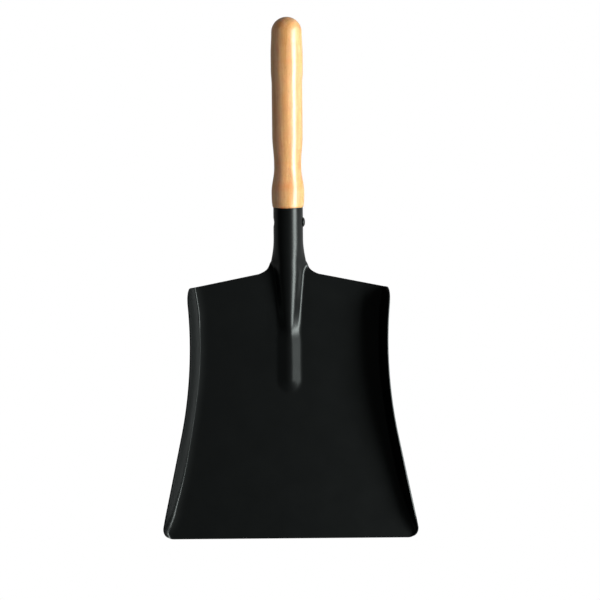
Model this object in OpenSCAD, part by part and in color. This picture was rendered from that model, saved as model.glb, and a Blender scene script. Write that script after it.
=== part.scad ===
// Hand shovel: a pressed steel pan with a rolled socket, riveted to a turned wooden handle.
// Frame: X across the pan, +Y from the lip to the handle, +Z up. The origin is the middle
// of the flat part of the pan's underside, which lies on Z = 0.

/* [Pan] */
// Length of the pan from the lip to the shoulders
pan_l = 251; // [244:1:258]
// Width over the flanges at their widest, just behind the lip
lip_w = 241; // [238:0.2:244]
// Width over the flanges at the waist
waist_w = 185.4; // [183:0.2:189]
// Distance of the waist from the lip
waist_y = 187; // [182:1:190]
// Angle that the straight front part of each side flares at
flare_a = 12; // [11.5:0.5:13]
// Height of the flanges above the floor, from the middle of the pan to the back
flange_h = 26.5; // [24:0.5:28]
// Height that the flanges reach just behind the lip
front_h = 13; // [11:0.5:15]
// Angle between the flanges and the floor, from the middle of the pan to the back
flange_a = 74.5; // [72:0.5:77]
// Thickness of the steel
sheet = 1.2; // [1:0.1:1.3]
// Radius of the front corners in plan
lip_r = 12; // [8:1:14]
// Radius of the rounded ear at each flange's rear end, seen from the side
ear_r = 16; // [8:1:18]
// How far each half of the rear edge falls back for each millimetre across
rear_slope = 0.2; // [0.1:0.01:0.25]
// Length of the flat front part that the pan stands on
flat_l = 105; // [80:5:120]

/* [Rib] */
// Distance of the rib's round nose from the lip
nose_y = 136; // [125:1:150]
// Height of the rib above the floor behind its nose
rib_h = 2.8; // [2.4:0.1:3.2]
// Height of the rib above the floor at the shoulders
shoulder_h = 12; // [11:0.1:12.6]
// Radius of the blend along the foot of the rib at the shoulders
rib_foot_r = 3.8; // [3.4:0.1:4.2]

/* [Socket] */
// Outer diameter of the socket
socket_d = 28; // [27:0.5:29]
// Length of the socket from the shoulders to its mouth
socket_l = 63; // [58:1:75]
// Wall of the rolled socket
socket_wall = 1.4; // [1.4:0.1:1.8]
// Angle at which socket and handle rise from the ground
tilt = 7; // [5:0.5:9]
// Width of the open seam underneath
seam_w = 0.8; // [0.4:0.1:1.2]

/* [Handle] */
// Length of the handle that shows beyond the socket
handle_l = 177.3; // [172:0.5:200]
// Diameter of the long middle of the grip
grip_d = 28.6; // [27:0.1:31]
// Diameter of the swell near the top of the grip
swell_d = 29.9; // [29:0.1:33]
// Diameter of the neck between grip and collar
neck_d = 25.5; // [24:0.1:26.5]
// Diameter of the collar
collar_d = 30.8; // [30:0.1:33]
// Length of the spigot inside the socket
spigot_l = 42; // [30:1:48]

/* [Rivet] */
// Distance of the rivet from the socket's mouth
rivet_s = 14; // [11:0.5:20]
// Diameter of the rivet's shank
rivet_d = 4.8; // [4:0.1:5.5]
// Diameter of the domed head
head_d = 9; // [8:0.1:10]

/* [Hidden] */
black = [0.10, 0.10, 0.10];
wood = [0.85, 0.66, 0.45];
$fn = 96;

// ---- the frame ----
// The pan's own numbers run from the lip; this moves them to the origin.
origin_y = flat_l / 2;
tube_r = socket_d / 2;
bore_r = tube_r - socket_wall;
// The pressed skin runs into the socket's wall, so it is a little thinner than the wall.
skin_r = tube_r - 0.07;
// Distance along the axis at which the seam has closed and the round tube starts
closed_u = 33.5;
// The floor rises at the back until the closed tube just clears the ground.
rear_rise = tube_r * cos(tilt) - closed_u * sin(tilt) + skin_r - sheet - shoulder_h;
axis_z = sheet + rear_rise + shoulder_h - skin_r;
rivet_u = socket_l - rivet_s;

function smooth(t) = let(c = min(max(t, 0), 1)) c * c * (3 - 2 * c);
function mix(a, b, t) = a + (b - a) * t;
// Falls from 1 at the edge to 0 at the reach, with the given power
function edge(d, reach, power) = pow(max(0, 1 - d / reach), power);

// ---- plan of the pan, as half-widths at a distance y from the lip ----
half_lip = lip_w / 2;
half_waist = waist_w / 2;
side_r = ((waist_y - lip_r) * tan(flare_a) - (half_lip - half_waist)) / (1 / cos(flare_a) - 1);
side_y = waist_y - side_r * sin(flare_a);
// Straight flare at the front, running into one long arc round the waist
function side(y) = y < side_y
    ? half_waist + side_r * (1 - cos(flare_a)) + (side_y - y) * tan(flare_a)
    : half_waist + side_r - sqrt(pow(side_r, 2) - pow(y - waist_y, 2));
// How far a rounded corner stands back at a distance d from its edge
function corner(d, r) = d >= r ? 0 : r - sqrt(r * r - pow(r - d, 2));
web_x = tube_r + 14.3;
function rear_y(x) = pan_l - rear_slope * max(0, abs(x) - web_x);
rear_outer_y = rear_y(half_waist);

// ---- heights ----
function rise(y) = rear_rise * smooth((y - flat_l) / (pan_l - flat_l));
// Flange: quick rise behind the lip, then a long easy one to the full height
function wall_h(y) = front_h * (1 - edge(y, 24, 1.5))
    + (flange_h - front_h) * (1 - edge(max(y - 10, 0), 150, 1.3));
// Flange: angle to the floor, where d is the distance from the rear edge
function wall_a(y, d) = flange_a - 9.5 * (1 - smooth((y - 50) / 80))
    + 6 * edge(y, 45, 1) + 3 * edge(d, 24, 1);
// Inner radius of the bend between floor and flange
function bend_r(y) = 0.5 + 9.5 * edge(y, 110, 3.6) + 1.1 * smooth((y - 190) / 18);
// The floor turns up softly before the bend.
toe_r = 36;
toe_a = 12;

// Rib: low and flat up to the step, then rising and steepening to the shoulders
step_y = 188;
flat_crest_r = 12.5;
flat_foot_r = 12;
flat_a = 16;
shoulder_crest_r = 12;
shoulder_a = 66;
function climb(y, power) = let(v = max(0, (y - step_y) / (pan_l - step_y))) pow(v, power) * smooth(v * 4);
function crest_h(y) = mix(rib_h, shoulder_h, climb(y, 0.85));
function flank_a(y) = mix(flat_a, shoulder_a, climb(y, 0.72));
function crest_r(y) = flat_crest_r - 6.1 * smooth((y - step_y + 4) / 16)
    + (shoulder_crest_r - flat_crest_r + 6.1) * min(max(0, (y - step_y - 12) / (pan_l - step_y - 12)), 1);
function foot_r(y) = mix(flat_foot_r, rib_foot_r, smooth((y - step_y + 3) / 35));
// Length of the straight side between crest and foot
function flank_l(y) = (crest_h(y) - (crest_r(y) + foot_r(y)) * (1 - cos(flank_a(y)))) / sin(flank_a(y));
function foot_x(y) = (crest_r(y) + foot_r(y)) * sin(flank_a(y)) + flank_l(y) * cos(flank_a(y));
function rib_z(x, y) = let(a = flank_a(y), r = crest_r(y), f = foot_r(y), out = foot_x(y))
    x >= out ? 0
    : x > out - f * sin(a) ? f - sqrt(f * f - pow(out - x, 2))
    : x > r * sin(a) ? crest_h(y) - r * (1 - cos(a)) - (x - r * sin(a)) * tan(a)
    : crest_h(y) - r + sqrt(r * r - x * x);
// Ahead of its full width the rib ends in a round nose.
nose_l = 16;
nose_c = nose_y + nose_l;
function rib(x, y) =
    y < nose_c ? rib_z(norm([x, (nose_c - y) * foot_x(nose_c) / nose_l]), nose_c) : rib_z(abs(x), y);

// ---- sections as chains of bends: [first angle, last angle, length, points] ----
// Angles are the slope downwards; a bend whose two angles are equal is straight.
function bend(a, b, l) = abs(b - a) < 0.1
    ? l * [cos(a), -sin(a)]
    : l / ((b - a) * PI / 180) * [sin(b) - sin(a), cos(b) - cos(a)];
function chain(bends, start, i = 0) = i >= len(bends) ? [] : let(
        c = bends[i],
        points = [for (k = [1:c[3]]) start + bend(c[0], mix(c[0], c[1], k / c[3]), c[2] * k / c[3])])
    concat(points, chain(bends, points[c[3] - 1], i + 1));
function arc_l(r, a) = r * a * PI / 180;

// ---- columns across the sheet ----
arc_n = 7;
flank_n = 1;
foot_n = 4;
web_n = 3;
floor_n = 3;
toe_n = 2;
bend_n = 4;
wall_n = 3;
strip_n = arc_n + flank_n + foot_n + web_n;
side_n = floor_n + toe_n + bend_n + wall_n;
// The middle strip holds the rib and runs on into the socket.
function strip_x(y) = let(c = max(y, nose_c), a = flank_a(c), f = foot_x(c), r = foot_r(c))
    [for (k = [1:arc_n]) crest_r(c) * sin(a * k / arc_n),
     for (k = [1:flank_n]) mix(crest_r(c) * sin(a), f - r * sin(a), k / flank_n),
     for (k = [1:foot_n]) f - r * sin(a * (1 - k / foot_n)),
     for (k = [1:web_n]) mix(f, web_x, k / web_n)];
function strip_row(t) = let(
        y = t * pan_l,
        half = strip_x(y),
        xs = concat([for (k = [strip_n - 1:-1:0]) -half[k]], [0], half))
    [for (x = xs) [x, y, sheet + rise(y) + rib(x, y)]];
// The side holds the floor, the toe, the bend and the flange, as [x, height above the floor].
function side_half(t) = let(
        y = t * rear_outer_y,
        d = rear_outer_y - y,
        h = max(wall_h(y), 0.02),
        a = max(wall_a(y, d) * (1 - edge(h, 5, 2)), 1),
        toe = toe_a * min(1, h / 6),
        toe_h = toe_r * (1 - cos(toe)),
        r = min(bend_r(y), 0.6 * (h - toe_h) / (cos(toe) - cos(a))),
        bend_h = toe_h + r * (cos(toe) - cos(a)),
        reach = toe_r * sin(toe) + r * (sin(a) - sin(toe)) + (h - bend_h) / tan(a),
        start = side(y) - corner(y, lip_r) - sheet * sin(a) - reach)
    concat(
        [for (k = [1:floor_n]) [mix(web_x, start, pow(k / floor_n, 0.7)), 0]],
        chain([[0, -toe, arc_l(toe_r, toe), toe_n], [-toe, -a, arc_l(r, a - toe), bend_n],
            [-a, -a, (h - corner(d, ear_r) - bend_h) / sin(a), wall_n]], [start, 0]));
function side_point(t, p, s) = let(y = t * rear_y(p[0])) [s * p[0], y, sheet + rise(y) + p[1]];
function pan_row(t) = let(half = side_half(t))
    concat([for (k = [side_n - 1:-1:0]) side_point(t, half[k], -1)],
           strip_row(t),
           [for (p = half) side_point(t, p, 1)]);

// ---- web and socket skin: u runs along the socket's axis from the shoulders ----
// The strip arches up into an open roof shape at web_l, then rolls shut into a tube.
web_l = 12;
roof_a = 47;
roof_flank = 9.2;
roof_foot = 4.1;
edge_l = 1.5;
shoulder_foot = arc_l(foot_r(pan_l), shoulder_a);
web_w = web_x - foot_x(pan_l) - edge_l;
end_a = 180 - asin((seam_w / 2 + 0.1) / skin_r);
roof_turn = roof_flank / skin_r * 180 / PI;
foot_turn = roof_foot / skin_r * 180 / PI;
tube_a = roof_a + roof_turn + foot_turn;
function web_bends(w) = let(a = mix(shoulder_a, roof_a, w), turn = 90 * pow(w, 2.5))
    [[0, a, arc_l(shoulder_crest_r, a), arc_n],
     [a, a, mix(flank_l(pan_l), roof_flank, w), flank_n],
     [a, turn, mix(shoulder_foot, roof_foot, w), foot_n],
     [turn, turn, edge_l + web_w * pow(1 - w, 3), web_n]];
function roll_bends(v, shut) = let(
        q = pow(1 - v, 1.8),
        flank = mix(roof_a + roof_turn, roof_a, q),
        foot = mix(tube_a, 90, q),
        last = mix(90, end_a, shut))
    [[0, roof_a, arc_l(mix(skin_r, shoulder_crest_r, q), roof_a), arc_n],
     [roof_a, flank, roof_flank, flank_n],
     [flank, foot, roof_foot, foot_n],
     [foot, last, edge_l * (1 - shut) + arc_l(skin_r, last - foot), web_n]];
function wrap_half(u) = chain(
    u < web_l ? web_bends(u / web_l)
    : let(v = min((u - web_l) / (closed_u - web_l), 1)) roll_bends(v, pow(v, 1.3)), [0, skin_r]);
function along(u) = [0, pan_l + u * cos(tilt), axis_z + u * sin(tilt)];
function wrap_row(u) = let(half = wrap_half(u), lean = tilt * smooth(u / 8))
    [for (p = concat([for (k = [strip_n - 1:-1:0]) [-half[k][0], half[k][1]]], [[0, skin_r]], half))
        along(u) + [p[0], -p[1] * sin(lean), p[1] * cos(lean)]];

// ---- rows along the sheet ----
pan_t = [0, 0.004, 0.011, 0.02, 0.03, 0.042, 0.07, 0.12, 0.18, 0.25, 0.33, 0.42, 0.5,
    for (k = [0:6]) (nose_y + 0.5 + nose_l * pow(k / 6, 1.3)) / pan_l,
    0.64, 0.68, 0.72, 0.76, 0.8, 0.84, 0.875, 0.905, 0.93, 0.95, 0.965, 0.977, 0.987, 0.994, 1];
wrap_u = [2.5, 5, 7, 8.7, 10.2, 13.5, 16, 19, 22, 25.5, 29, 32, closed_u + 1];
full = [for (t = pan_t) pan_row(t)];
tail = [for (u = wrap_u) wrap_row(u)];
full_n = len(full);
tail_n = len(tail);
row_n = 2 * (strip_n + side_n) + 1;
first = side_n;
last = side_n + 2 * strip_n;

// Every point of the upper surface by row and column; the tail has the strip's columns only.
function at(i, j) = i < full_n ? full[i][j] : tail[i - full_n][j - first];
function columns(i) = i < full_n ? [0, row_n - 1] : [first, last];
function normal(i, j) = let(
        c = columns(i),
        up = i + 1 < full_n || (j >= first && j <= last && i + 1 < full_n + tail_n) ? i + 1 : i,
        down = max(i - 1, 0),
        across = at(i, min(j + 1, c[1])) - at(i, max(j - 1, c[0])),
        forward = at(up, j) - at(down, j),
        n = cross(across, forward))
    n / norm(n);
function index(i, j) = i < full_n
    ? i * row_n + j
    : full_n * row_n + (i - full_n) * (2 * strip_n + 1) + j - first;
places = [for (i = [0:full_n + tail_n - 1]) for (j = [columns(i)[0]:columns(i)[1]]) [i, j]];
upper = [for (p = places) at(p[0], p[1])];
lower = [for (p = places) at(p[0], p[1]) - sheet * normal(p[0], p[1])];
under = len(upper);
quads = [for (i = [0:full_n + tail_n - 2]) let(c = columns(i + 1)) for (j = [c[0]:c[1] - 1])
    [index(i, j), index(i, j + 1), index(i + 1, j + 1), index(i + 1, j)]];
// The free edge, once round
rim = concat(
    [for (j = [0:row_n - 2]) index(0, j)],
    [for (i = [0:full_n - 1]) index(i, row_n - 1)],
    [for (j = [row_n - 2:-1:last]) index(full_n - 1, j)],
    [for (i = [full_n:full_n + tail_n - 1]) index(i, last)],
    [for (j = [last - 1:-1:first]) index(full_n + tail_n - 1, j)],
    [for (i = [full_n + tail_n - 2:-1:full_n]) index(i, first)],
    [for (j = [first:-1:0]) index(full_n - 1, j)],
    [for (i = [full_n - 2:-1:1]) index(i, 0)]);

module skin() {
    polyhedron(
        points = concat(upper, lower),
        faces = concat(
            [for (q = quads) each [[q[0], q[2], q[1]], [q[0], q[3], q[2]]]],
            [for (q = quads) let(down = [under, under, under])
                each [[q[0], q[1], q[2]] + down, [q[0], q[2], q[3]] + down]],
            [for (k = [0:len(rim) - 1]) let(a = rim[k], b = rim[(k + 1) % len(rim)])
                each [[a, b, b + under], [a, b + under, a + under]]]),
        convexity = 8);
}

// Stands its children on the socket's axis, at a distance u from the shoulders
module on_axis(u) {
    translate(along(u)) rotate([tilt - 90, 0, 0]) children();
}

module cross_bore(r) {
    rotate([0, 90, 0]) cylinder(r = r, h = 3 * tube_r, center = true);
}

// Flat seat for the rivet's head, sunk a little into the round wall
head_x = tube_r - 0.4;
tail_x = tube_r - 0.7;
seat_r = head_d / 2 + 0.2;
dimple_r = 4.2;

module socket() {
    difference() {
        on_axis(closed_u) cylinder(r = tube_r, h = socket_l - closed_u);
        on_axis(closed_u - 1) cylinder(r = bore_r, h = socket_l - closed_u + 2);
        on_axis(closed_u - 1) translate([-seam_w / 2, 0, 0]) cube([seam_w, tube_r + 1, socket_l]);
        on_axis(rivet_u) {
            cross_bore(rivet_d / 2 + 0.1);
            translate([head_x, 0, 0]) rotate([0, 90, 0]) cylinder(r = seat_r, h = 5);
            translate([-tail_x - 5, 0, 0]) rotate([0, 90, 0]) cylinder(r = dimple_r, h = 5);
        }
    }
}

module pan() {
    color(black) translate([0, -origin_y, 0]) union() {
        skin();
        socket();
    }
}

// ---- handle, as radii at a distance s from the socket's mouth ----
function wave(a, b, t) = mix(a, b, (1 - cos(180 * t)) / 2);
steps = 8;
dome_l = 14.2;
top_s = handle_l - dome_l;
collar_outline = [for (k = [0:steps]) let(a = 90 * k / steps)
    [12.5 * (1 - cos(a)), mix(14.1, collar_d / 2, sin(a))]];
neck_outline = [for (k = [0:steps]) [mix(14, 37, k / steps), wave(collar_d / 2, neck_d / 2, k / steps)]];
grip_outline = [for (k = [0:steps]) [mix(41, 68, k / steps), wave(neck_d / 2, grip_d / 2, k / steps)]];
swell_s = 128;
swell_l = 15;
swell_outline = [for (k = [0:steps])
    [mix(115, swell_s, k / steps), wave(grip_d / 2, swell_d / 2, k / steps)]];
top_outline = [for (k = [0:steps])
    [mix(swell_s + swell_l, top_s, k / steps), wave(swell_d / 2, dome_l, k / steps)]];
dome_outline = [for (k = [1:2 * steps]) let(a = 90 * k / (2 * steps))
    [top_s + dome_l * sin(a), dome_l * cos(a)]];
spigot_r = bore_r - 0.15;
outline = concat(
    [[-spigot_l, 0], [-spigot_l, spigot_r - 2], [-spigot_l + 3, spigot_r], [0, spigot_r]],
    collar_outline, neck_outline, grip_outline, swell_outline, top_outline, dome_outline);

module handle() {
    color(wood) translate([0, -origin_y, 0]) difference() {
        on_axis(socket_l) rotate_extrude() polygon([for (p = outline) [max(p[1], 0), p[0]]]);
        on_axis(rivet_u) cross_bore(rivet_d / 2 + 0.1);
    }
}

// Domed head on +X, formed tail in the shallow seat on -X
module rivet() {
    head_h = 2.3;
    tail_r = 3.8;
    tail_h = 0.6;
    rivet_outline = concat(
        [[0, -tail_x - tail_h], [tail_r - 0.8, -tail_x - tail_h], [tail_r, -tail_x - tail_h / 2],
         [tail_r, -tail_x], [rivet_d / 2, -tail_x], [rivet_d / 2, head_x], [head_d / 2, head_x]],
        [for (k = [0:steps]) let(a = 90 * k / steps)
            [head_d / 2 * cos(a), head_x + 0.5 + (head_h - 0.5) * sin(a)]]);
    color(black) translate([0, -origin_y, 0]) on_axis(rivet_u) rotate([0, 90, 0])
        rotate_extrude() polygon(rivet_outline);
}

pan();
handle();
rivet();
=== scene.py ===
import math
import bmesh
import bpy
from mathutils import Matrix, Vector


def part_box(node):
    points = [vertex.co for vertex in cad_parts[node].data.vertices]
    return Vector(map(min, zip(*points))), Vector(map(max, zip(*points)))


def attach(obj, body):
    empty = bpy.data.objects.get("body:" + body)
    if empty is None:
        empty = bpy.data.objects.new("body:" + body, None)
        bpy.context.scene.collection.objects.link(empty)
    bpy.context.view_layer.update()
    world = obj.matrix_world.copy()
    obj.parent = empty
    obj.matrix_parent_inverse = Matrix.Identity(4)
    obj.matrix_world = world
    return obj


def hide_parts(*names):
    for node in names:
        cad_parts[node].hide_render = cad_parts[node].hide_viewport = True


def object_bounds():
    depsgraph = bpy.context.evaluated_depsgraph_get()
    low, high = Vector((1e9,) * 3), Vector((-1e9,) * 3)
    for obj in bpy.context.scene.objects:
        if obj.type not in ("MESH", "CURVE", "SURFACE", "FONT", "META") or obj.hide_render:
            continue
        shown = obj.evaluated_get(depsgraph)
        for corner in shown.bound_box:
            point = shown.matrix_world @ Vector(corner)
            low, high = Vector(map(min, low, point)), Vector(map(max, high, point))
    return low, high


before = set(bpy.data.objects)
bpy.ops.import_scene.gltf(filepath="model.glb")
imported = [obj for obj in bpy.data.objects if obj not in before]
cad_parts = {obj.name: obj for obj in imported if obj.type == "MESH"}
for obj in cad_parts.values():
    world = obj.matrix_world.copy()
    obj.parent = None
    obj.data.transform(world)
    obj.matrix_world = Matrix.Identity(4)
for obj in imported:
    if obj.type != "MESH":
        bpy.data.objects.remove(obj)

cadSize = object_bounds()
mm = 0.001
print("frame loaded, nodes:", sorted(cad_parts))


def smooth(t):
    c = min(max(t, 0), 1)
    return c * c * (3 - 2 * c)


def mix(a, b, t):
    return a + (b - a) * t


def fallOff(d, reach, power):
    # 1 at the edge, 0 at the reach
    return max(0, 1 - d / reach) ** power


def spread(a, b, n):
    return [mix(a, b, k / n) for k in range(n + 1)]


def sinDeg(a):
    return math.sin(math.radians(a))


def cosDeg(a):
    return math.cos(math.radians(a))


def tanDeg(a):
    return math.tan(math.radians(a))


def bendChain(bends, start):
    # sheet metal seen end on: each bend is (first angle, last angle, length, points), sloping down
    points = [start]
    for a, b, run, n in bends:
        x, z = points[-1]
        for k in range(1, n + 1):
            part = run * k / n
            turn = mix(a, b, k / n)
            if abs(b - a) < 0.1:
                points.append((x + part * cosDeg(a), z - part * sinDeg(a)))
            else:
                r = run / math.radians(b - a)
                points.append((x + r * (sinDeg(turn) - sinDeg(a)), z + r * (cosDeg(turn) - cosDeg(a))))
    return points[1:]


def clearSelection():
    bpy.ops.object.select_all(action="DESELECT")


def applyModifier(obj, kind, **settings):
    bpy.context.view_layer.objects.active = obj
    mod = obj.modifiers.new(kind.title(), kind)
    for key, value in settings.items():
        setattr(mod, key, value)
    bpy.ops.object.modifier_apply(modifier=mod.name)


# sizes in millimetres and degrees; distances along the pan run from the lip
pan = {
    "length": 251,          # lip to shoulders
    "lipWidth": 241,
    "waistWidth": 185.4,
    "waistAt": 187,
    "flare": 12,
    "sheet": 1.2,
    "lipCorner": 12,
    "earCorner": 16,        # rear top corner of each flange
    "rearSlope": 0.2,
    "flatLength": 105,
    "rimRound": 0.3,
    "rimAngle": 50,         # only edges sharper than this are rounded
}
flange = {
    "height": 26.5,
    "frontHeight": 13,
    "quickRise": 24,        # straight behind the lip
    "quickPower": 1.5,
    "longRiseFrom": 10,
    "longRise": 150,
    "longPower": 1.3,
    "leastHeight": 0.02,
    "angle": 74.5,
    "leanOut": 9.5,         # further outwards over the front part
    "leanFrom": 50,
    "leanOver": 80,
    "lipUpright": 6,        # a little steeper again at the lip
    "lipReach": 45,
    "earUpright": 3,        # and at the rear corner
    "earReach": 24,
    "lowHeight": 5,         # lies flatter where it is lower than this
    "bend": 0.5,
    "lipBend": 9.5,
    "lipBendReach": 110,
    "lipBendPower": 3.6,
    "rearBend": 1.1,
    "rearBendFrom": 190,
    "rearBendOver": 18,
    "bendShare": 0.6,       # most of the height that the bend may take
    "toeRadius": 36,        # soft rise of the floor before the bend
    "toeAngle": 12,
    "toeWholeAt": 6,        # flange height at which the toe has its full angle
}
rib = {
    "noseAt": 136,
    "noseLength": 16,
    "stepAt": 188,          # low and flat before, steep behind
    "height": 2.8,
    "crest": 12.5,
    "foot": 12,
    "angle": 16,
    "heightPower": 0.85,
    "anglePower": 0.72,
    "stepCrest": 6.4,
    "narrowFrom": 4,        # before the step
    "narrowOver": 16,
    "widenFrom": 12,        # behind the step
    "footFrom": 3,          # before the step
    "footOver": 35,
    "shoulderHeight": 12,
    "shoulderCrest": 12,
    "shoulderFoot": 3.8,
    "shoulderAngle": 66,
}
socket = {
    "diameter": 28,
    "length": 63,
    "tilt": 7,
    "seam": 0.8,
    "closedAt": 33.5,
    "bore": 12.6,
    "webLength": 12,        # the web arches up into an open roof shape here
    "webReach": 14.3,
    "roofAngle": 47,
    "roofFlank": 9.2,
    "roofFoot": 4.1,
    "edge": 1.5,
    "skinInset": 0.07,      # the rolled surface lies this far inside the tube's full radius
    "tiltOver": 8,          # length over which the strip takes up the tilt
}
rivetAt = {"fromMouth": 14, "shank": 4.8}

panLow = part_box("pan")[0]
originY = -panLow[1] / mm   # the lip is the pan's front end
tubeR = socket["diameter"] / 2
skinR = tubeR - socket["skinInset"]
tilt = socket["tilt"]
sheet = pan["sheet"]
length = pan["length"]
rearRise = (tubeR * cosDeg(tilt) - socket["closedAt"] * sinDeg(tilt)
            + skinR - sheet - rib["shoulderHeight"])
axisZ = sheet + rearRise + rib["shoulderHeight"] - skinR
rivetU = socket["length"] - rivetAt["fromMouth"]


def axisPoint(u):
    # a point on the socket's axis, u from the shoulders
    return Vector((0, length - originY + u * cosDeg(tilt), axisZ + u * sinDeg(tilt)))


halfLip = pan["lipWidth"] / 2
halfWaist = pan["waistWidth"] / 2
flare = pan["flare"]
sideR = (((pan["waistAt"] - pan["lipCorner"]) * tanDeg(flare) - (halfLip - halfWaist))
         / (1 / cosDeg(flare) - 1))
sideY = pan["waistAt"] - sideR * sinDeg(flare)
webX = tubeR + socket["webReach"]


def sideX(y):
    # straight flare at the front, then one long arc round the waist
    if y < sideY:
        return halfWaist + sideR * (1 - cosDeg(flare)) + (sideY - y) * tanDeg(flare)
    return halfWaist + sideR - math.sqrt(sideR ** 2 - (y - pan["waistAt"]) ** 2)


def cornerIn(d, r):
    return 0 if d >= r else r - math.sqrt(max(0, r * r - (r - d) ** 2))


def rearY(x):
    return length - pan["rearSlope"] * max(0, abs(x) - webX)


rearOuterY = rearY(halfWaist)


def floorRise(y):
    return rearRise * smooth((y - pan["flatLength"]) / (length - pan["flatLength"]))


def flangeHeight(y):
    # quick rise behind the lip, then a long easy one
    quick = 1 - fallOff(y, flange["quickRise"], flange["quickPower"])
    long = 1 - fallOff(max(y - flange["longRiseFrom"], 0), flange["longRise"], flange["longPower"])
    return flange["frontHeight"] * quick + (flange["height"] - flange["frontHeight"]) * long


def flangeAngle(y, d):
    # d is the distance from the rear edge
    lean = flange["leanOut"] * (1 - smooth((y - flange["leanFrom"]) / flange["leanOver"]))
    return (flange["angle"] - lean + flange["lipUpright"] * fallOff(y, flange["lipReach"], 1)
            + flange["earUpright"] * fallOff(d, flange["earReach"], 1))


def bendRadius(y):
    front = flange["lipBend"] * fallOff(y, flange["lipBendReach"], flange["lipBendPower"])
    rear = flange["rearBend"] * smooth((y - flange["rearBendFrom"]) / flange["rearBendOver"])
    return flange["bend"] + front + rear


def climb(y, power):
    # how far the rib has come from its low front part to the shoulders, eased in over a quarter
    v = max(0, (y - rib["stepAt"]) / (length - rib["stepAt"]))
    return v ** power * smooth(v * 4)


def crestH(y):
    return mix(rib["height"], rib["shoulderHeight"], climb(y, rib["heightPower"]))


def flankAngle(y):
    return mix(rib["angle"], rib["shoulderAngle"], climb(y, rib["anglePower"]))


def crestR(y):
    # tighter at the step, then wider again towards the socket
    past = y - rib["stepAt"]
    narrow = mix(rib["crest"], rib["stepCrest"], smooth((past + rib["narrowFrom"]) / rib["narrowOver"]))
    wholeWay = length - rib["stepAt"] - rib["widenFrom"]
    behind = min(max(0, (past - rib["widenFrom"]) / wholeWay), 1)
    return narrow + (rib["shoulderCrest"] - rib["stepCrest"]) * behind


def footR(y):
    past = y - rib["stepAt"] + rib["footFrom"]
    return mix(rib["foot"], rib["shoulderFoot"], smooth(past / rib["footOver"]))


def flankLength(y):
    a = flankAngle(y)
    return (crestH(y) - (crestR(y) + footR(y)) * (1 - cosDeg(a))) / sinDeg(a)


def footX(y):
    a = flankAngle(y)
    return (crestR(y) + footR(y)) * sinDeg(a) + flankLength(y) * cosDeg(a)


def ribZ(x, y):
    # round crest, straight flank and round foot
    a, r, f, out = flankAngle(y), crestR(y), footR(y), footX(y)
    if x >= out:
        return 0
    if x > out - f * sinDeg(a):
        return f - math.sqrt(f * f - (out - x) ** 2)
    if x > r * sinDeg(a):
        return crestH(y) - r * (1 - cosDeg(a)) - (x - r * sinDeg(a)) * tanDeg(a)
    return crestH(y) - r + math.sqrt(r * r - x * x)


noseC = rib["noseAt"] + rib["noseLength"]


def ribAt(x, y):
    if y < noseC:
        ahead = (noseC - y) * footX(noseC) / rib["noseLength"]
        return ribZ(math.hypot(x, ahead), noseC)
    return ribZ(abs(x), y)


# columns of faces in each stretch of the section, from the middle outwards
cols = {"crest": 16, "flank": 5, "foot": 10, "web": 6, "floor": 12, "toe": 6, "bend": 10, "wall": 6}
stripN = cols["crest"] + cols["flank"] + cols["foot"] + cols["web"]
sideN = cols["floor"] + cols["toe"] + cols["bend"] + cols["wall"]
middle = stripN + sideN


def stripXs(y):
    c = max(y, noseC)
    a, r, f, out = flankAngle(c), crestR(c), footR(c), footX(c)
    crestEnd, footStart = r * sinDeg(a), out - f * sinDeg(a)
    return ([r * sinDeg(b) for b in spread(0, a, cols["crest"])][1:]
            + spread(crestEnd, footStart, cols["flank"])[1:]
            + [out - f * sinDeg(b) for b in spread(a, 0, cols["foot"])][1:]
            + spread(out, webX, cols["web"])[1:])


def sideHalf(t):
    # floor, toe, bend and flange as (x, height above the floor)
    y = t * rearOuterY
    d = rearOuterY - y
    h = max(flangeHeight(y), flange["leastHeight"])
    a = max(flangeAngle(y, d) * (1 - fallOff(h, flange["lowHeight"], 2)), 1)
    toe = flange["toeAngle"] * min(1, h / flange["toeWholeAt"])
    toeR = flange["toeRadius"]
    toeH = toeR * (1 - cosDeg(toe))
    r = min(bendRadius(y), flange["bendShare"] * (h - toeH) / (cosDeg(toe) - cosDeg(a)))
    bendH = toeH + r * (cosDeg(toe) - cosDeg(a))
    reach = toeR * sinDeg(toe) + r * (sinDeg(a) - sinDeg(toe)) + (h - bendH) / tanDeg(a)
    start = sideX(y) - cornerIn(y, pan["lipCorner"]) - sheet * sinDeg(a) - reach
    upright = (h - cornerIn(d, pan["earCorner"]) - bendH) / sinDeg(a)
    flat = [(mix(webX, start, t ** 0.7), 0) for t in spread(0, 1, cols["floor"])[1:]]   # closer at the toe
    return (flat
            + bendChain([(0, -toe, toeR * math.radians(toe), cols["toe"]),
                         (-toe, -a, r * math.radians(a - toe), cols["bend"]),
                         (-a, -a, upright, cols["wall"])], (start, 0)))


def panPoint(t, j, half, xs):
    # column j of the pressed pan, counted from the left edge
    k = abs(j - middle)
    s = -1 if j < middle else 1
    if k <= stripN:
        x = s * xs[k - 1] if k else 0
        y = t * length
        return Vector((x, y - originY, sheet + floorRise(y) + ribAt(x, y)))
    x, z = half[k - stripN - 1]
    y = t * rearY(x)
    return Vector((s * x, y - originY, sheet + floorRise(y) + z))


def webBends(w):
    # the strip behind the pan arches up from rib and flat web to an open roof
    a = mix(rib["shoulderAngle"], socket["roofAngle"], w)
    turn = 90 * w ** 2.5
    foot = mix(footR(length) * math.radians(rib["shoulderAngle"]), socket["roofFoot"], w)
    reach = webX - footX(length) - socket["edge"]
    return [(0, a, rib["shoulderCrest"] * math.radians(a), cols["crest"]),
            (a, a, mix(flankLength(length), socket["roofFlank"], w), cols["flank"]),
            (a, turn, foot, cols["foot"]),
            (turn, turn, socket["edge"] + reach * (1 - w) ** 3, cols["web"])]


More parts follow.
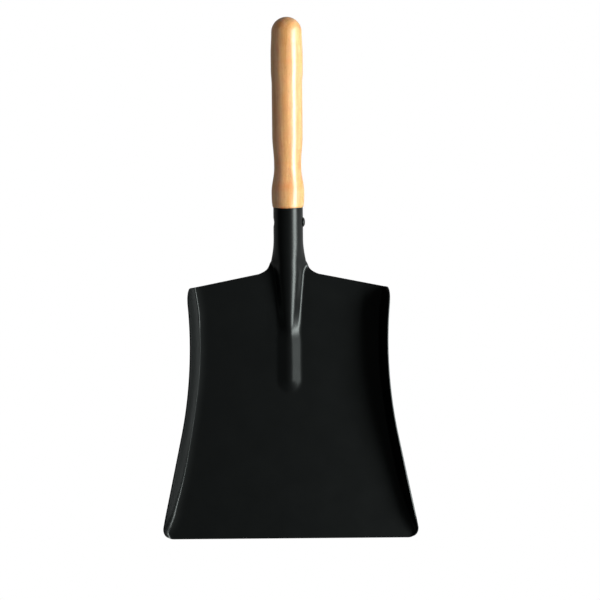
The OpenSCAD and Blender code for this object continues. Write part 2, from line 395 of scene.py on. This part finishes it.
def rollBends(v):
    # the roof rolls shut into a round tube
    q = (1 - v) ** 1.8
    shut = v ** 1.3
    roof = socket["roofAngle"]
    flankEnd = roof + math.degrees(socket["roofFlank"] / skinR)
    footEnd = flankEnd + math.degrees(socket["roofFoot"] / skinR)
    flank = mix(flankEnd, roof, q)
    foot = mix(footEnd, 90, q)
    last = mix(90, 180 - math.degrees(math.asin(socket["seam"] / 2 / skinR)), shut)
    return [(0, roof, mix(skinR, rib["shoulderCrest"], q) * math.radians(roof), cols["crest"]),
            (roof, flank, socket["roofFlank"], cols["flank"]),
            (flank, foot, socket["roofFoot"], cols["foot"]),
            (foot, last, socket["edge"] * (1 - shut) + skinR * math.radians(last - foot), cols["web"])]


def wrapHalf(u):
    w = u / socket["webLength"]
    if w < 1:
        return bendChain(webBends(w), (0, skinR))
    v = min((u - socket["webLength"]) / (socket["closedAt"] - socket["webLength"]), 1)
    return bendChain(rollBends(v), (0, skinR))


dimple = {"depth": 1.15, "radius": 4.6}


def wrapPoint(u, j, half):
    k = abs(j - middle)
    s = -1 if j < middle else 1
    x, z = half[k - 1] if k else (0, skinR)
    if s < 0:
        # the struck side of the rivet sits in a shallow dimple
        away = math.hypot(u - rivetU, z) / dimple["radius"]
        x -= dimple["depth"] * (1 - smooth(away)) if away < 1 else 0
    lean = tilt * smooth(u / socket["tiltOver"])
    return axisPoint(u) + Vector((s * x, -z * sinDeg(lean), z * cosDeg(lean)))


# rows of faces in each stretch of the pan, from the lip to the shoulders
rowSteps = {"lip": 14, "flat": 40, "nose": 24, "back": 38, "rear": 12, "ear": 16}
rearRowsFrom = 30           # mm before the shoulders
# rows behind the shoulders: (from, to, steps), closest round the dimple
tailRows = ((0.8, 11.6, 15), (12.4, 43, 40), (43.5, 54.5, 22), (55.3, socket["length"], 10))


def panRows():
    # shares of the way from the lip to the shoulders
    lip = [pan["lipCorner"] * (1 - cosDeg(a)) / rearOuterY for a in spread(0, 90, rowSteps["lip"])]
    flat = spread(lip[-1], (rib["noseAt"] - 2) / length, rowSteps["flat"])
    nose = [y / length for y in spread(rib["noseAt"], noseC, rowSteps["nose"])]
    back = spread(nose[-1], 1 - rearRowsFrom / rearOuterY, rowSteps["back"])
    rear = spread(back[-1], 1 - pan["earCorner"] / rearOuterY, rowSteps["rear"])
    ear = [1 - pan["earCorner"] * (1 - sinDeg(a)) / rearOuterY for a in spread(0, 90, rowSteps["ear"])]
    return lip + flat[1:] + nose + back[1:] + rear[1:] + ear[1:]


def makePan():
    rows = panRows()
    tail = [u for a, b, n in tailRows for u in spread(a, b, n)]
    nCols = 2 * middle + 1
    nRows = len(rows) + len(tail)

    clearSelection()
    bpy.ops.mesh.primitive_grid_add(x_subdivisions=nCols - 1, y_subdivisions=nRows - 1, size=1)
    obj = bpy.context.object
    obj.name = "pressedPan"
    place = {}
    for v in obj.data.vertices:
        j = round((v.co.x + 0.5) * (nCols - 1))
        i = round((v.co.y + 0.5) * (nRows - 1))
        place[v.index] = (i, j)

    # cut the blank: behind the shoulders only the middle strip goes on
    bpy.ops.object.mode_set(mode="EDIT")
    bpy.ops.mesh.select_all(action="DESELECT")
    bm = bmesh.from_edit_mesh(obj.data)
    bm.verts.ensure_lookup_table()
    halves = [sideHalf(t) for t in rows]
    strips = [stripXs(t * length) for t in rows]
    wraps = [wrapHalf(u) for u in tail]
    for v in bm.verts:
        i, j = place[v.index]
        if i < len(rows):
            v.co = panPoint(rows[i], j, halves[i], strips[i]) * mm
        elif abs(j - middle) <= stripN:
            v.co = wrapPoint(tail[i - len(rows)], j, wraps[i - len(rows)]) * mm
        else:
            v.select = True
    bmesh.update_edit_mesh(obj.data)
    bpy.ops.mesh.delete(type="VERT")
    bpy.ops.object.mode_set(mode="OBJECT")

    applyModifier(obj, "SOLIDIFY", thickness=sheet * mm, offset=-1, use_even_offset=True)
    applyModifier(obj, "BEVEL", width=pan["rimRound"] * mm, segments=2, limit_method="ANGLE",
                  angle_limit=math.radians(pan["rimAngle"]))
    return obj


def turnOutline(name, outline, centre, along, out, steps):
    # outline points are (distance along, radius)
    clearSelection()
    first = centre + along * outline[0][0] + out * outline[0][1]
    bpy.ops.mesh.primitive_plane_add(size=mm, location=first * mm)
    obj = bpy.context.object
    obj.name = name
    bpy.ops.object.transform_apply(location=True)
    bpy.ops.object.mode_set(mode="EDIT")
    bpy.ops.mesh.merge(type="CENTER")
    for a, b in zip(outline, outline[1:]):
        step = (along * (b[0] - a[0]) + out * (b[1] - a[1])) * mm
        bpy.ops.mesh.extrude_vertices_move(TRANSFORM_OT_translate={"value": step})
    bpy.ops.mesh.select_all(action="SELECT")
    bpy.ops.mesh.spin(steps=steps, angle=math.tau, center=centre * mm, axis=along)
    bpy.ops.mesh.select_all(action="SELECT")
    bpy.ops.mesh.remove_doubles(threshold=0.002 * mm)
    bpy.ops.mesh.normals_make_consistent(inside=False)
    bpy.ops.object.mode_set(mode="OBJECT")
    return obj


handle = {
    "length": 177.3,
    "grip": 28.6,
    "swell": 29.9,
    "neck": 25.5,
    "collar": 30.8,
    "collarRound": 12.5,
    "foot": 14.1,           # radius where the wood meets the socket
    "footInside": 13.6,     # and where it turns in under the collar
    "footEdge": 0.15,
    "spigot": 42,
    "spigotSlack": 0.15,
    "spigotTaperLength": 3,
    "spigotTaperDepth": 2,
    "collarTo": 14,         # places along the handle from here on
    "neckFrom": 37,
    "neckTo": 41,
    "gripFrom": 68,
    "gripTo": 115,
    "swellFrom": 128,
    "swellTo": 143,
    "dome": 14.2,
    "steps": 96,
}


def wave(a, b, t):
    return mix(a, b, (1 - math.cos(math.pi * t)) / 2)


def taper(fromPlace, toPlace, fromR, toR, steps):
    # a smooth change of radius between two places along the handle
    return [(s, wave(fromR, toR, (s - fromPlace) / (toPlace - fromPlace)))
            for s in spread(fromPlace, toPlace, steps)]


def handleOutline():
    grip, swell = handle["grip"] / 2, handle["swell"] / 2
    neck, collar = handle["neck"] / 2, handle["collar"] / 2
    foot, edge, bulge = handle["foot"], handle["footEdge"], handle["collarRound"]
    gripFrom, gripTo = handle["gripFrom"], handle["gripTo"]
    dome = handle["dome"]
    top = handle["length"] - dome
    spigotR = socket["bore"] - handle["spigotSlack"]
    end = -handle["spigot"]
    points = [(end, 0), (end, spigotR - handle["spigotTaperDepth"]),
              (end + handle["spigotTaperLength"], spigotR), (0, spigotR), (0, handle["footInside"]),
              (edge, foot)]
    points += [(bulge * (1 - cosDeg(a)) + edge, mix(foot, collar, sinDeg(a)))
               for a in spread(0, 90, 16)][1:]
    points += taper(handle["collarTo"], handle["neckFrom"], collar, neck, 18)
    points += taper(handle["neckTo"], gripFrom, neck, grip, 14)
    points += [(s, grip) for s in spread(gripFrom, gripTo, 8)][1:]
    points += taper(gripTo, handle["swellFrom"], grip, swell, 8)[1:]
    points += taper(handle["swellTo"], top, swell, dome, 12)
    points += [(top + dome * sinDeg(a), dome * cosDeg(a)) for a in spread(0, 90, 24)][1:]
    return points


def boreThrough(obj, radius):
    clearSelection()
    bpy.ops.mesh.primitive_cylinder_add(vertices=48, radius=radius * mm, depth=40 * mm,
                                        location=axisPoint(rivetU) * mm, rotation=(0, math.pi / 2, 0))
    drill = bpy.context.object
    applyModifier(obj, "BOOLEAN", operation="DIFFERENCE", solver="EXACT", object=drill)
    bpy.data.objects.remove(drill)


axisWay = Vector((0, cosDeg(tilt), sinDeg(tilt)))
upWay = Vector((0, -sinDeg(tilt), cosDeg(tilt)))

rivet = {
    "headDiameter": 9,
    "headHeight": 2.3,
    "headEdge": 0.35,       # upright rim under the dome
    "headEdgeRound": 0.15,
    "seatDepth": 0.4,       # the head is drawn this far into the tube
    "tailRadius": 3.5,
    "tailHeight": 0.5,
    "tailFlat": 0.55,       # share of the tail that the hammer left flat
    "tailSeat": 0.1,
    "tailNeck": 0.4,
    "steps": 48,
    "boreSlack": 0.1,
}


def rivetOutline():
    # from the struck tail on the left, along the shank, to the domed head on the right
    head = rivet["headDiameter"] / 2
    shank = rivetAt["shank"] / 2
    seat = tubeR - rivet["seatDepth"]
    tail = tubeR - dimple["depth"] - rivet["tailSeat"]
    flat, edge = rivet["tailFlat"], rivet["headEdge"]
    points = [(-tail - rivet["tailHeight"], 0)]
    points += [(-tail - rivet["tailHeight"] * cosDeg(a), rivet["tailRadius"] * mix(flat, 1, sinDeg(a)))
               for a in spread(0, 90, 6)]
    points += [(-tail + rivet["tailNeck"], shank), (seat, shank), (seat, head - rivet["headEdgeRound"])]
    points += [(seat + edge + (rivet["headHeight"] - edge) * sinDeg(a), head * cosDeg(a))
               for a in spread(0, 90, 12)]
    return points


panPiece = makePan()
print("pan pressed:", len(panPiece.data.polygons), "faces")
handlePiece = turnOutline("turnedHandle", handleOutline(), axisPoint(socket["length"]), axisWay, upWay,
                          handle["steps"])
print("handle turned:", len(handlePiece.data.polygons), "faces")
rivetPiece = turnOutline("socketRivet", rivetOutline(), axisPoint(rivetU), Vector((1, 0, 0)), upWay,
                         rivet["steps"])
print("rivet turned:", len(rivetPiece.data.polygons), "faces")
boreR = rivetAt["shank"] / 2 + rivet["boreSlack"]
boreThrough(panPiece, boreR)
boreThrough(handlePiece, boreR)
smoothAngle = 35
for piece in (panPiece, handlePiece, rivetPiece):
    clearSelection()
    piece.select_set(True)
    bpy.context.view_layer.objects.active = piece
    bpy.ops.object.shade_smooth_by_angle(angle=math.radians(smoothAngle))
print("holes bored, surfaces smoothed")


def colour(hexText):
    # sRGB hex to linear
    channels = [int(hexText[k:k + 2], 16) / 255 for k in (1, 3, 5)]
    return [c / 12.92 if c <= 0.04045 else ((c + 0.055) / 1.055) ** 2.4 for c in channels] + [1]


def grey(level):
    return (level, level, level, 1)


def newMaterial(name):
    mat = bpy.data.materials.new(name)
    mat.use_nodes = True
    mat.node_tree.nodes.clear()
    return mat


def addNode(mat, kind, settings=None, values=None, links=None):
    node = mat.node_tree.nodes.new(kind)
    for key, value in (settings or {}).items():
        setattr(node, key, value)
    for key, value in (values or {}).items():
        node.inputs[key].default_value = value
    for key, source in (links or {}).items():
        mat.node_tree.links.new(source, node.inputs[key])
    return node


enamelLook = {
    "base": "#0f1111",
    "panRoughness": 0.33,
    "tubeRoughness": 0.31,
    "sheen": 0.5,           # specular level of the pan and the tube
    # specular level on the upright flange faces, turned down as painted shade
    "flangeShadedSheen": 0.16,
    "tint": "#f4fffc",      # faintly blue-green reflections
    "glossyTo": 16,         # mm from the middle, fading out by the next value
    "dullFrom": 24,
    "flangeFrom": 40,       # mm from the middle, beyond the rib and the socket
    "patchSize": 26,        # mm, where the coat lies a little duller
    "patchChange": 0.02,    # roughness, either way
    "peelSize": 2.2,        # mm, ripple of the sprayed coat
    "peelDepth": 0.012,     # mm
    "gritSize": 0.7,        # mm, drawn coarser than the real dust nibs
    "gritShare": 0.25,
    "ripple": 0.35,         # how much of the relief shows
}


def blackEnamel():
    # mild steel, pressed, sprayed and baked in black enamel: semi-gloss, with faint orange peel,
    # a little glossier on rib and socket than on the broad pan; up the flanges the reflection is turned
    # down, painted shade that darkens them
    mat = newMaterial("blackBakedEnamel")
    coords = addNode(mat, "ShaderNodeTexCoord")
    place = coords.outputs["Object"]
    where = addNode(mat, "ShaderNodeSeparateXYZ", links={"Vector": place})
    across = addNode(mat, "ShaderNodeMath", {"operation": "ABSOLUTE"}, links={0: where.outputs["X"]})
    nearMiddle = addNode(mat, "ShaderNodeMapRange", {"interpolation_type": "SMOOTHSTEP"},
                         {"From Min": enamelLook["glossyTo"] * mm, "From Max": enamelLook["dullFrom"] * mm,
                          "To Min": 1, "To Max": 0},
                         {"Value": across.outputs["Value"]})
    nearSocket = addNode(mat, "ShaderNodeMapRange", {"interpolation_type": "SMOOTHSTEP"},
                         {"From Min": (rib["noseAt"] - originY) * mm,
                          "From Max": (rib["stepAt"] - originY) * mm},
                         {"Value": where.outputs["Y"]})
    glossy = addNode(mat, "ShaderNodeMath", {"operation": "MULTIPLY"},
                     links={0: nearMiddle.outputs["Result"], 1: nearSocket.outputs["Result"]})
    rough = addNode(mat, "ShaderNodeMapRange",
                    values={"To Min": enamelLook["panRoughness"], "To Max": enamelLook["tubeRoughness"]},
                    links={"Value": glossy.outputs["Value"]})
    # flanges: surfaces that stand up, away from the middle, get a lower specular level, painted shade
    facing = addNode(mat, "ShaderNodeSeparateXYZ", links={"Vector": coords.outputs["Normal"]})
    upright = addNode(mat, "ShaderNodeMapRange", {"interpolation_type": "SMOOTHSTEP"},
                      {"From Min": 0.35, "From Max": 0.6, "To Min": 1, "To Max": 0},
                      {"Value": facing.outputs["Z"]})
    awayFromMiddle = addNode(mat, "ShaderNodeMath", {"operation": "GREATER_THAN"},
                             {1: enamelLook["flangeFrom"] * mm}, {0: across.outputs["Value"]})
    flangeShadeMask = addNode(mat, "ShaderNodeMath", {"operation": "MULTIPLY"},
                       links={0: upright.outputs["Result"], 1: awayFromMiddle.outputs["Value"]})
    # painted shade: the flanges reflect less than the rest of the coat
    sheen = addNode(mat, "ShaderNodeMix",
                    values={"A": enamelLook["sheen"], "B": enamelLook["flangeShadedSheen"]},
                    links={"Factor": flangeShadeMask.outputs["Value"]})
    patches = addNode(mat, "ShaderNodeTexNoise",
                      values={"Scale": 1 / (enamelLook["patchSize"] * mm), "Detail": 5, "Roughness": 0.6},
                      links={"Vector": place})
    change = enamelLook["patchChange"]
    uneven = addNode(mat, "ShaderNodeMapRange",
                     values={"From Min": 0.3, "From Max": 0.7, "To Min": -change, "To Max": change},
                     links={"Value": patches.outputs["Fac"]})
    roughness = addNode(mat, "ShaderNodeMath", {"operation": "ADD"},
                        links={0: rough.outputs["Result"], 1: uneven.outputs["Result"]})
    peel = addNode(mat, "ShaderNodeTexNoise",
                   values={"Scale": 1 / (enamelLook["peelSize"] * mm), "Detail": 1, "Roughness": 0.4},
                   links={"Vector": place})
    grit = addNode(mat, "ShaderNodeTexNoise",
                   values={"Scale": 1 / (enamelLook["gritSize"] * mm), "Detail": 2, "Roughness": 0.6},
                   links={"Vector": place})
    relief = addNode(mat, "ShaderNodeMath", {"operation": "MULTIPLY_ADD"}, {1: enamelLook["gritShare"]},
                     {0: grit.outputs["Fac"], 2: peel.outputs["Fac"]})
    bump = addNode(mat, "ShaderNodeBump",
                   values={"Strength": enamelLook["ripple"], "Distance": enamelLook["peelDepth"] * mm},
                   links={"Height": relief.outputs["Value"]})
    shader = addNode(mat, "ShaderNodeBsdfPrincipled",
                     values={"Base Color": colour(enamelLook["base"]), "IOR": 1.5,
                             "Specular Tint": colour(enamelLook["tint"])},
                     links={"Roughness": roughness.outputs["Value"], "Normal": bump.outputs["Normal"],
                            "Specular IOR Level": sheen.outputs["Result"]})
    addNode(mat, "ShaderNodeOutputMaterial", links={"Surface": shader.outputs["BSDF"]})
    return mat


woodLook = {
    "pale": "#cda876",      # early wood under the lacquer
    "dark": "#b5844a",      # late wood lines
    "figure": "#b07a40",    # warm blotches across the grain
    "fleck": "#8a5a30",
    "bandTone": "#c8803c",     # darker tone for the rings and the socket's edge
    "ringGap": 2.6,         # mm between growth rings
    "pith": (-34, -27),     # mm, the tree's middle lies outside the handle
    "wanderSize": 16.67,    # mm, slow drift of the growth lines
    "wander": 3.5,          # mm
    "fibre": 0.55,          # mm across
    "streakSize": 5.263,    # mm across, broad darker streaks along the grain
    "mottleSize": 3.846,    # mm across
    "fleckSize": 0.5,       # mm across
    "pithTurn": (1.2, 0, 0.8),   # degrees
    "roughness": 0.45,
    "coat": 0.7,
    "coatRoughness": 0.12,
    "glow": 0.85,           # share of the light that travels inside the wood
    "glowDepth": 20,        # mm
    "glowColour": (1, 0.5, 0.25),
    "reliefDepth": 0.02,    # mm
    "relief": 0.25,
    "collarDark": 0.75,     # share of the darker tone at the socket's edge
    "domeDark": 0.05,
    "betweenDark": 0.02,
}
# darker rings left by the lathe and the lacquer: (mm from the socket, half width, strength)
burnishedBands = ((5, 3, 0.1), (20.5, 6, 0.5), (42, 2.5, 0.2), (136, 3, 0.2))


def lacqueredAsh():
    # ash, turned along the grain, sanded and clear lacquered: straight growth lines that turn
    # to arcs on the dome, warm mottle, short dark pores, faint burnished rings, a glossy coat
    mat = newMaterial("lacqueredAsh")
    start = axisPoint(socket["length"]) * mm
    place = addNode(mat, "ShaderNodeTexCoord").outputs["Object"]
    along = addNode(mat, "ShaderNodeMapping", {"vector_type": "TEXTURE"},
                    {"Location": start, "Rotation": (math.radians(tilt), 0, 0)}, {"Vector": place})
    local = along.outputs["Vector"]

    def stretched(squeeze):
        return addNode(mat, "ShaderNodeMapping", values={"Scale": (1, squeeze, 1)},
                       links={"Vector": local}).outputs["Vector"]

    drift = woodLook["wander"] * mm
    wander = addNode(mat, "ShaderNodeTexNoise",
                     values={"Scale": 1 / (woodLook["wanderSize"] * mm), "Detail": 2},
                     links={"Vector": stretched(0.25)})
    moved = addNode(mat, "ShaderNodeVectorMath", {"operation": "MULTIPLY_ADD"},
                    {1: (drift, 0, drift)}, {0: wander.outputs["Color"], 2: local})
    pithPlace = addNode(mat, "ShaderNodeMapping",
                        values={"Location": (-woodLook["pith"][0] * mm, 0, -woodLook["pith"][1] * mm),
                                "Rotation": [math.radians(a) for a in woodLook["pithTurn"]]},
                        links={"Vector": moved.outputs["Vector"]})
    # the wave pattern repeats every tau / 20 at scale 1
    rings = addNode(mat, "ShaderNodeTexWave",
                    {"wave_type": "RINGS", "rings_direction": "Y", "wave_profile": "SAW"},
                    {"Scale": math.tau / 20 / (woodLook["ringGap"] * mm), "Distortion": 0.6, "Detail": 2,
                     "Detail Scale": 1.2},
                    {"Vector": pithPlace.outputs["Vector"]})
    lateWood = addNode(mat, "ShaderNodeMapRange", {"interpolation_type": "SMOOTHSTEP"},
                       {"From Min": 0.3, "From Max": 1.0, "To Min": 0, "To Max": 0.25},
                       {"Value": rings.outputs["Fac"]})
    fibre = addNode(mat, "ShaderNodeTexNoise",
                    values={"Scale": 1 / (woodLook["fibre"] * mm), "Detail": 4, "Roughness": 0.65},
                    links={"Vector": stretched(0.02)})
    fibreDark = addNode(mat, "ShaderNodeMapRange",
                        values={"From Min": 0.36, "From Max": 0.66, "To Min": 0, "To Max": 0.65},
                        links={"Value": fibre.outputs["Fac"]})
    broad = addNode(mat, "ShaderNodeTexNoise",
                    values={"Scale": 1 / (woodLook["streakSize"] * mm), "Detail": 2},
                    links={"Vector": stretched(0.05)})
    broadDark = addNode(mat, "ShaderNodeMapRange",
                        values={"From Min": 0.33, "From Max": 0.67, "To Min": -0.25, "To Max": 0.4},
                        links={"Value": broad.outputs["Fac"]})
    grain = addNode(mat, "ShaderNodeMath", {"operation": "ADD"},
                    links={0: lateWood.outputs["Result"], 1: fibreDark.outputs["Result"]})
    grainAll = addNode(mat, "ShaderNodeMath", {"operation": "ADD", "use_clamp": True},
                       links={0: grain.outputs["Value"], 1: broadDark.outputs["Result"]})
    body = addNode(mat, "ShaderNodeMix", {"data_type": "RGBA"},
                   {"A": colour(woodLook["pale"]), "B": colour(woodLook["dark"])},
                   {"Factor": grainAll.outputs["Value"]})
    mottle = addNode(mat, "ShaderNodeTexNoise",
                     values={"Scale": 1 / (woodLook["mottleSize"] * mm), "Detail": 3, "Roughness": 0.7},
                     links={"Vector": stretched(0.35)})
    mottled = addNode(mat, "ShaderNodeMapRange",
                      values={"From Min": 0.35, "From Max": 0.65, "To Min": 0, "To Max": 0.35},
                      links={"Value": mottle.outputs["Fac"]})
    figured = addNode(mat, "ShaderNodeMix", {"data_type": "RGBA"}, {"B": colour(woodLook["figure"])},
                      {"Factor": mottled.outputs["Result"], "A": body.outputs["Result"]})
    pores = addNode(mat, "ShaderNodeTexNoise",
                    values={"Scale": 1 / (woodLook["fleckSize"] * mm), "Detail": 1},
                    links={"Vector": stretched(0.09)})
    poreDark = addNode(mat, "ShaderNodeMapRange",
                       values={"From Min": 0.66, "From Max": 0.76, "To Min": 0, "To Max": 0.5},
                       links={"Value": pores.outputs["Fac"]})
    flecked = addNode(mat, "ShaderNodeMix", {"data_type": "RGBA"}, {"B": colour(woodLook["fleck"])},
                      {"Factor": poreDark.outputs["Result"], "A": figured.outputs["Result"]})
    height = addNode(mat, "ShaderNodeSeparateXYZ", links={"Vector": local}).outputs["Y"]
    share = addNode(mat, "ShaderNodeMapRange", values={"From Min": 0, "From Max": handle["length"] * mm},
                    links={"Value": height})
    bands = addNode(mat, "ShaderNodeValToRGB", links={"Fac": share.outputs["Result"]})
    ramp = bands.color_ramp
    # darker towards the socket's edge
    ramp.elements[0].color = grey(woodLook["collarDark"])
    ramp.elements[1].color = grey(woodLook["domeDark"])
    between = woodLook["betweenDark"]
    for at, half, strength in burnishedBands:
        for side, level in ((-half, between), (0, strength), (half, between)):
            ramp.elements.new((at + side) / handle["length"]).color = grey(level)
    coloured = addNode(mat, "ShaderNodeMix", {"data_type": "RGBA"}, {"B": colour(woodLook["bandTone"])},
                       {"Factor": bands.outputs["Color"], "A": flecked.outputs["Result"]})
    relief = addNode(mat, "ShaderNodeMath", {"operation": "MULTIPLY_ADD"}, {1: -0.6},
                     {0: poreDark.outputs["Result"], 2: fibre.outputs["Fac"]})
    bump = addNode(mat, "ShaderNodeBump",
                   values={"Strength": woodLook["relief"], "Distance": woodLook["reliefDepth"] * mm},
                   links={"Height": relief.outputs["Value"]})
    shader = addNode(mat, "ShaderNodeBsdfPrincipled",
                     values={"Roughness": woodLook["roughness"], "IOR": 1.5, "Coat Weight": woodLook["coat"],
                             "Coat IOR": 1.5, "Coat Roughness": woodLook["coatRoughness"],
                             "Subsurface Weight": woodLook["glow"],
                             "Subsurface Radius": woodLook["glowColour"],
                             "Subsurface Scale": woodLook["glowDepth"] * mm},
                     links={"Base Color": coloured.outputs["Result"], "Normal": bump.outputs["Normal"]})
    addNode(mat, "ShaderNodeOutputMaterial", links={"Surface": shader.outputs["BSDF"]})
    return mat


enamel = blackEnamel()
wood = lacqueredAsh()
for piece, finish, node, slot in ((panPiece, enamel, "pan", "black_coated_steel"),
                                  (handlePiece, wood, "handle", "lacquered_wood"),
                                  (rivetPiece, enamel, "rivet", "rivet_steel")):
    piece.data.materials.clear()
    piece.data.materials.append(finish)
    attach(piece, "root")
    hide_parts(node)
print("finishes applied:", enamel.name, "and", wood.name)


studio = {
    "floorSize": 30,        # metres, as all lengths here
    "keyRadiance": 11,
    "keyDistance": 1.3,
    "keyFromTop": 54,       # degrees to the right
    "keyToFront": 0.1,
    "keyWidth": 0.52,
    "keyLength": 1.5,
    "cardRadiance": 0.5,    # lifts the wood's dark side and leaves the black steel alone
    "cardDistance": 1.3,
    "cardFromTop": 65,      # degrees to the left
    "cardSize": 1.6,
    "tableRight": 0.6,      # light that the white table throws back
    "tableLeft": 0.2,
    "roomRight": 0.05,
    "roomLeft": 0.025,
    "aimHeight": 0.01,
}
low, high = Vector(cadSize[0]), Vector(cadSize[1])
aimAt = Vector((0, (low.y + high.y) / 2, studio["aimHeight"]))


def makeFloor():
    # white table: the camera sees it, and the world's lower half stands for its light
    clearSelection()
    bpy.ops.mesh.primitive_plane_add(size=studio["floorSize"])
    floor = bpy.context.object
    floor.name = "paleFloor"
    mat = newMaterial("whiteTable")
    shader = addNode(mat, "ShaderNodeEmission", values={"Color": colour("#ffffff"), "Strength": 1.0})
    addNode(mat, "ShaderNodeOutputMaterial", links={"Surface": shader.outputs["Emission"]})
    floor.data.materials.append(mat)
    floor.visible_diffuse = False
    floor.visible_glossy = False
    floor.visible_shadow = False


def makeWorld():
    world = bpy.data.worlds.new("studioRoom")
    bpy.context.scene.world = world
    world.use_nodes = True
    world.node_tree.nodes.clear()
    way = addNode(world, "ShaderNodeTexCoord").outputs["Generated"]
    parts = addNode(world, "ShaderNodeSeparateXYZ", links={"Vector": way})
    table = addNode(world, "ShaderNodeMapRange",
                    values={"From Min": -1, "From Max": 1, "To Min": studio["tableLeft"],
                            "To Max": studio["tableRight"]},
                    links={"Value": parts.outputs["X"]})
    room = addNode(world, "ShaderNodeMapRange",
                   values={"From Min": -1, "From Max": 1, "To Min": studio["roomLeft"],
                           "To Max": studio["roomRight"]},
                   links={"Value": parts.outputs["X"]})
    upper = addNode(world, "ShaderNodeMapRange", {"interpolation_type": "SMOOTHSTEP"},
                    {"From Min": -0.05, "From Max": 0.05}, {"Value": parts.outputs["Z"]})
    strength = addNode(world, "ShaderNodeMix", links={"Factor": upper.outputs["Result"],
                                                      "A": table.outputs["Result"],
                                                      "B": room.outputs["Result"]})
    glow = addNode(world, "ShaderNodeBackground", links={"Strength": strength.outputs["Result"]})
    addNode(world, "ShaderNodeOutputWorld", links={"Surface": glow.outputs["Background"]})


def beside(fromTop, distance):
    # a place over the shovel, turned down to the right, or to the left where the angle is negative
    return aimAt + distance * Vector((sinDeg(fromTop), 0, cosDeg(fromTop)))


def addSoftbox(name, place, across, along, radiance, only=None):
    bpy.ops.object.light_add(type="AREA", location=place)
    light = bpy.context.object
    light.name = name
    light.data.shape = "RECTANGLE"
    light.data.size = along
    light.data.size_y = across
    light.data.energy = radiance * math.pi * across * along
    light.rotation_euler = (aimAt - place).to_track_quat("-Z", "Y").to_euler()
    if only:
        lit = bpy.data.collections.new(name + "Lights")
        lit.objects.link(only)
        light.light_linking.receiver_collection = lit


makeFloor()
makeWorld()
keyPlace = beside(studio["keyFromTop"], studio["keyDistance"])
keyPlace.y -= studio["keyToFront"]
addSoftbox("keySoftbox", keyPlace, studio["keyWidth"], studio["keyLength"], studio["keyRadiance"])
cardPlace = beside(-studio["cardFromTop"], studio["cardDistance"])
addSoftbox("woodCard", cardPlace, studio["cardSize"], studio["cardSize"], studio["cardRadiance"],
           handlePiece)

camera = {
    "height": 1.8,          # metres, straight above
    "right": 0.0105,
    "forward": -0.0186,
    "lens": 113.7,
    "sensor": 36,
    "roll": -0.5,           # degrees
}
bpy.ops.object.camera_add(location=(camera["right"], aimAt.y + camera["forward"], camera["height"]),
                          rotation=(0, 0, math.radians(camera["roll"])))
eye = bpy.context.object
eye.name = "overheadCamera"
eye.data.lens = camera["lens"]
eye.data.sensor_width = camera["sensor"]
bpy.context.scene.camera = eye
bpy.context.scene.view_settings.view_transform = "Standard"
print("studio ready")
